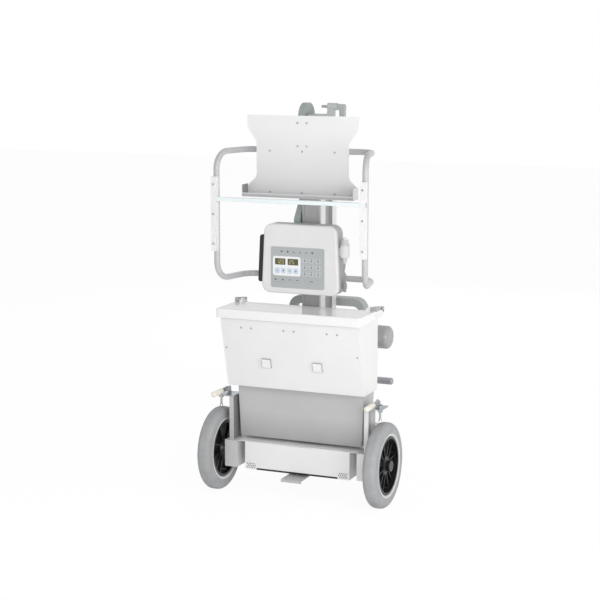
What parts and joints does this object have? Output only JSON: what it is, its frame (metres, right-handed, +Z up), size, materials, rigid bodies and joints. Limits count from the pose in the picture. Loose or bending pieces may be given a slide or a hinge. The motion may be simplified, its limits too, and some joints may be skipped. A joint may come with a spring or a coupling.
{
  "type": "mobile x-ray machine",
  "caption": "Mobile x-ray machine on a two-wheel trolley base with casters, detector bin, control console, laptop panel, grab handles and a swing arm with tube head.",
  "frame": {"origin": "on the floor, midway between the front and back of the machine and between its wheels", "axes": "+X to the operator's right, +Y away from the operator, +Z up"},
  "size_m": [0.718, 0.794, 1.443],
  "materials": {
    "base_paint": "satin light grey paint",
    "white_sheet": "white powder coat",
    "dark_sheet": "dark grey powder coat",
    "grey_sheet": "grey powder coat",
    "arm_paint": "dark grey painted casting",
    "head_enamel": "white enamelled housing",
    "bar_paint": "grey anodised tube",
    "tube_paint": "light grey powder coat",
    "anodised": "anodised extrusion",
    "zinc": "bright zinc plate",
    "white_plastic": "white moulded plastic",
    "white_gloss": "glossy white",
    "console_plastic": "light grey moulded plastic",
    "dark_plastic": "grey moulded plastic",
    "black_plastic": "black moulded plastic",
    "cream_plastic": "cream plastic",
    "membrane": "printed membrane",
    "tyre": "grey non-marking tyre",
    "cord": "grey cord sheath"
  },
  "bodies": {
    "frame": {"base_frame": "base_paint", "leg_frame": "base_paint", "chassis_plate": "base_paint", "battery_cover": "white_sheet", "power_pack": "black_plastic", "base_deck": "dark_sheet", "tilt_step": "base_paint", "column": "anodised", "column_cap": "zinc", "wheel_posts": "grey_sheet", "lower_housing": "grey_sheet", "detector_bin": "white_sheet", "bin_bumpers": "white_plastic", "lid_hinges": "white_sheet", "handle_tube_upper": "tube_paint", "handle_tube_lower": "tube_paint", "handle_rail_left": "white_sheet", "handle_rail_right": "white_sheet", "cross_bar": "white_sheet", "tube_clamps": "dark_sheet", "laptop_panel": "white_sheet", "panel_bracket": "white_sheet", "sheet_screws": "zinc", "console_bracket": "dark_sheet", "console_rear_shell": "dark_plastic", "console_front_shell": "console_plastic", "console_overlay": "membrane", "console_grip": "black_plastic", "switch_holder": "console_plastic", "wheel_axles": "zinc", "brake_bracket_left": "zinc", "brake_bracket_right": "zinc"},
    "wheel_left": {"tyre_left": "tyre", "hub_left": "black_plastic"},
    "caster_left": {"caster_fork_left": "zinc"},
    "caster_roller_left": {"caster_wheel_left": "tyre"},
    "brake_left": {"brake_lever_left": "zinc", "brake_grip_left": "cream_plastic"},
    "brake_plunger_left": {"brake_pin_left": "zinc"},
    "wheel_right": {"tyre_right": "tyre", "hub_right": "black_plastic"},
    "caster_right": {"caster_fork_right": "zinc"},
    "caster_roller_right": {"caster_wheel_right": "tyre"},
    "brake_right": {"brake_lever_right": "zinc", "brake_grip_right": "cream_plastic"},
    "brake_plunger_right": {"brake_pin_right": "zinc"},
    "lid": {"bin_lid": "white_gloss"},
    "arm": {"swing_arm": "arm_paint"},
    "yoke": {"head_yoke": "arm_paint"},
    "head": {"tube_head": "head_enamel", "collimator": "white_plastic", "head_handle": "bar_paint"},
    "dial_left": {"collimator_dial_left": "black_plastic"},
    "dial_right": {"collimator_dial_right": "black_plastic"},
    "arm_lock": {"arm_lock_lever": "tube_paint"},
    "handset": {"hand_switch": "console_plastic", "switch_cord": "cord", "switch_plug": "black_plastic"},
    "exposure_button": {"switch_button": "white_plastic"}
  },
  "joints": [
    {"name": "wheel_left_roll", "type": "hinge", "parent": "frame", "child": "wheel_left", "pos_m": [-0.325, -0.241, 0.156], "axis": [1, 0, 0], "continuous": true},
    {"name": "caster_left_swivel", "type": "hinge", "parent": "frame", "child": "caster_left", "pos_m": [-0.12, 0.319, 0.118], "axis": [0, 0, 1], "continuous": true},
    {"name": "caster_left_roll", "type": "hinge", "parent": "caster_left", "child": "caster_roller_left", "pos_m": [-0.12, 0.347, 0.05], "axis": [1, 0, 0], "continuous": true},
    {"name": "brake_left_lever", "type": "hinge", "parent": "frame", "child": "brake_left", "pos_m": [-0.3, -0.221, 0.38], "axis": [1, 0, 0], "range_deg": [0, 15]},
    {"name": "brake_left_press", "type": "slide", "parent": "frame", "child": "brake_plunger_left", "axis": [0, 0, -1], "range_m": [0, 0.0071]},
    {"name": "wheel_right_roll", "type": "hinge", "parent": "frame", "child": "wheel_right", "pos_m": [0.325, -0.241, 0.156], "axis": [1, 0, 0], "continuous": true},
    {"name": "caster_right_swivel", "type": "hinge", "parent": "frame", "child": "caster_right", "pos_m": [0.12, 0.319, 0.118], "axis": [0, 0, 1], "continuous": true},
    {"name": "caster_right_roll", "type": "hinge", "parent": "caster_right", "child": "caster_roller_right", "pos_m": [0.12, 0.347, 0.05], "axis": [1, 0, 0], "continuous": true},
    {"name": "brake_right_lever", "type": "hinge", "parent": "frame", "child": "brake_right", "pos_m": [0.3, -0.221, 0.38], "axis": [1, 0, 0], "range_deg": [0, 15]},
    {"name": "brake_right_press", "type": "slide", "parent": "frame", "child": "brake_plunger_right", "axis": [0, 0, -1], "range_m": [0, 0.0071]},
    {"name": "lid_open", "type": "hinge", "parent": "frame", "child": "lid", "pos_m": [0, -0.191, 0.716], "axis": [-1, 0, 0], "range_deg": [0, 35]},
    {"name": "arm_swing", "type": "hinge", "parent": "frame", "child": "arm", "pos_m": [0, -0.051, 1.388], "axis": [1, 0, 0], "range_deg": [0, 110]},
    {"name": "head_level", "type": "hinge", "parent": "arm", "child": "yoke", "pos_m": [0, -0.051, 0.9], "axis": [1, 0, 0], "range_deg": [-110, 0]},
    {"name": "head_tilt", "type": "hinge", "parent": "yoke", "child": "head", "pos_m": [-0.015, 0.104, 0.557], "axis": [1, 0, 0], "range_deg": [0, 90]},
    {"name": "dial_left_turn", "type": "hinge", "parent": "head", "child": "dial_left", "pos_m": [-0.055, 0.179, 0.412], "axis": [0, 1, 0], "range_deg": [-135, 135]},
    {"name": "dial_right_turn", "type": "hinge", "parent": "head", "child": "dial_right", "pos_m": [0.025, 0.179, 0.412], "axis": [0, 1, 0], "range_deg": [-135, 135]},
    {"name": "arm_lock_turn", "type": "hinge", "parent": "frame", "child": "arm_lock", "pos_m": [0, -0.051, 1.43], "axis": [1, 0, 0], "range_deg": [0, 70]},
    {"name": "handset_lift", "type": "slide", "parent": "frame", "child": "handset", "axis": [0, 0, 1], "range_m": [0, 0.07]},
    {"name": "button_press", "type": "slide", "parent": "handset", "child": "exposure_button", "axis": [0, 0, -1], "range_m": [0, 0.004], "stiffness_N_per_m": 400, "springref_m": -0.002}
  ],
  "couplings": [
    {"joint": "brake_left_press", "follows": "brake_left_lever", "m_per_rad": 0.026},
    {"joint": "brake_right_press", "follows": "brake_right_lever", "m_per_rad": 0.026},
    {"joint": "head_level", "follows": "arm_swing", "ratio": -1}
  ]
}
